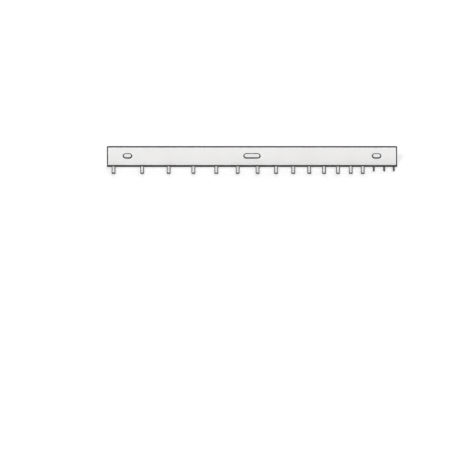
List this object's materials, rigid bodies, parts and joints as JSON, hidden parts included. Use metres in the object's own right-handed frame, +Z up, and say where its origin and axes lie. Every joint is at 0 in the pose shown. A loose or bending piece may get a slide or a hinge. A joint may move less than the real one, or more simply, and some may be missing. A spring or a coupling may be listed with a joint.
{
  "type": "wrench rack",
  "caption": "Wall-mounted strip of folded sheet steel with level fixing slots and a row of forward hooks, graded in width and spacing, that carry wrenches by their ring ends.",
  "frame": {"origin": "centre of the middle fixing slot, in the plane of the plate's back face, which lies against the wall", "axes": "+X along the rack towards the closely spaced short hooks, +Y into the wall, so the hooks point to -Y, +Z up"},
  "size_m": [0.5, 0.0312, 0.04],
  "materials": {
    "white_powder_coat": "satin powder coat on steel"
  },
  "bodies": {
    "root": {"rack": "white_powder_coat"}
  },
  "joints": []
}
